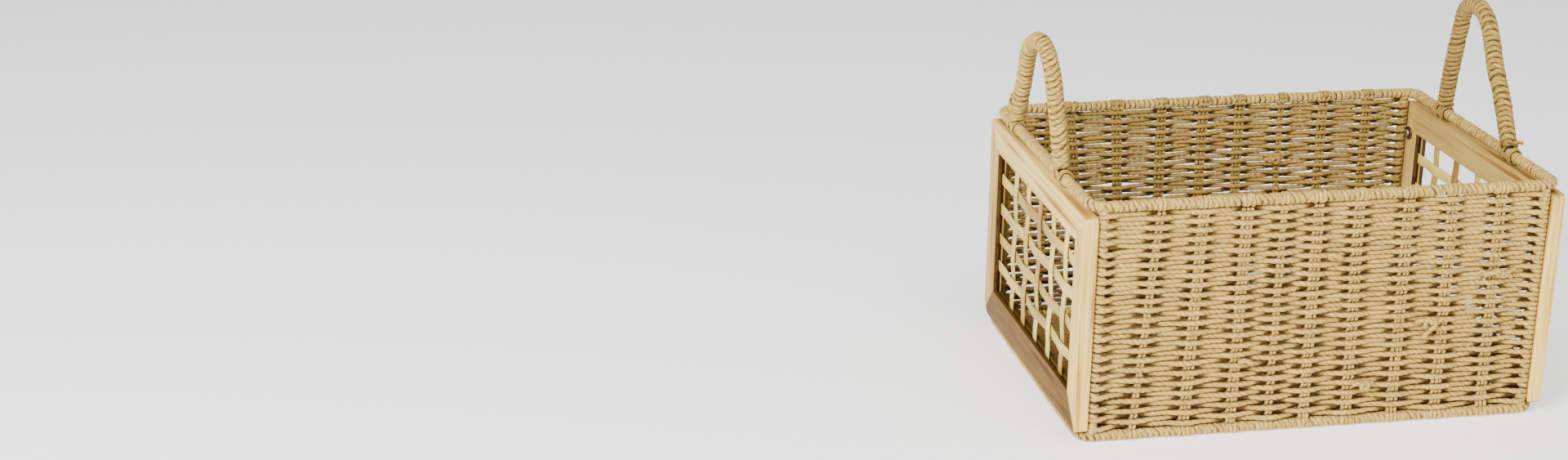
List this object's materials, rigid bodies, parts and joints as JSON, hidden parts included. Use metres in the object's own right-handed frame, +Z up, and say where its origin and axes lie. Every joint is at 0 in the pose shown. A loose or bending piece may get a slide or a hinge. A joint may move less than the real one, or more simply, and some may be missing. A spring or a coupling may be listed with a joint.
{
  "type": "laundry basket",
  "caption": "Rectangular woven paper-cord basket with wooden end frames, bamboo lattice panels and two swinging arch handles",
  "frame": {"origin": "on the floor, under the middle of the base", "axes": "+X along the basket's length to the right-hand end frame, +Y to the back wall, +Z up out of the mouth"},
  "size_m": [0.4046, 0.278, 0.3102],
  "materials": {
    "woven_cord": "matt twisted paper cord",
    "stake_cord": "matt twisted paper cord",
    "rim_cord": "matt paper cord, wound close",
    "handle_cord": "matt paper cord, wound close",
    "pale_wood": "bare planed softwood",
    "bamboo": "satin split bamboo",
    "frame_wire": "satin brown coating",
    "screw_steel": "dull plated steel",
    "washer_steel": "satin brown coating"
  },
  "bodies": {
    "basket": {"back_left_post_wire": "frame_wire", "back_right_post_wire": "frame_wire", "back_wall_stakes": "stake_cord", "back_wall_weave": "woven_cord", "base_stakes": "stake_cord", "base_weave": "woven_cord", "bottom_rim_wire": "frame_wire", "bottom_rim_wrap": "rim_cord", "front_left_post_wire": "frame_wire", "front_right_post_wire": "frame_wire", "front_wall_stakes": "stake_cord", "front_wall_weave": "woven_cord", "left_frame_back_stile": "pale_wood", "left_frame_bottom_rail": "pale_wood", "left_frame_dowels": "pale_wood", "left_frame_front_stile": "pale_wood", "left_frame_screws": "screw_steel", "left_frame_top_rail": "pale_wood", "left_frame_washers": "washer_steel", "left_lattice_crosses": "bamboo", "left_lattice_uprights": "bamboo", "right_frame_back_stile": "pale_wood", "right_frame_bottom_rail": "pale_wood", "right_frame_dowels": "pale_wood", "right_frame_front_stile": "pale_wood", "right_frame_screws": "screw_steel", "right_frame_top_rail": "pale_wood", "right_frame_washers": "washer_steel", "right_lattice_crosses": "bamboo", "right_lattice_uprights": "bamboo", "top_rim_wire": "frame_wire", "top_rim_wrap": "rim_cord"},
    "left_handle": {"left_handle_front_lashing": "handle_cord", "left_handle_rear_lashing": "handle_cord", "left_handle_wire": "frame_wire", "left_handle_wrap": "handle_cord"},
    "right_handle": {"right_handle_front_lashing": "handle_cord", "right_handle_rear_lashing": "handle_cord", "right_handle_wire": "frame_wire", "right_handle_wrap": "handle_cord"}
  },
  "joints": [
    {"name": "left_handle_swing", "type": "hinge", "parent": "basket", "child": "left_handle", "pos_m": [-0.1935, 0.016, 0.198], "axis": [0, -1, 0], "range_deg": [-94, 89]},
    {"name": "right_handle_swing", "type": "hinge", "parent": "basket", "child": "right_handle", "pos_m": [0.1935, 0.01, 0.198], "axis": [0, 1, 0], "range_deg": [-85, 98]}
  ]
}
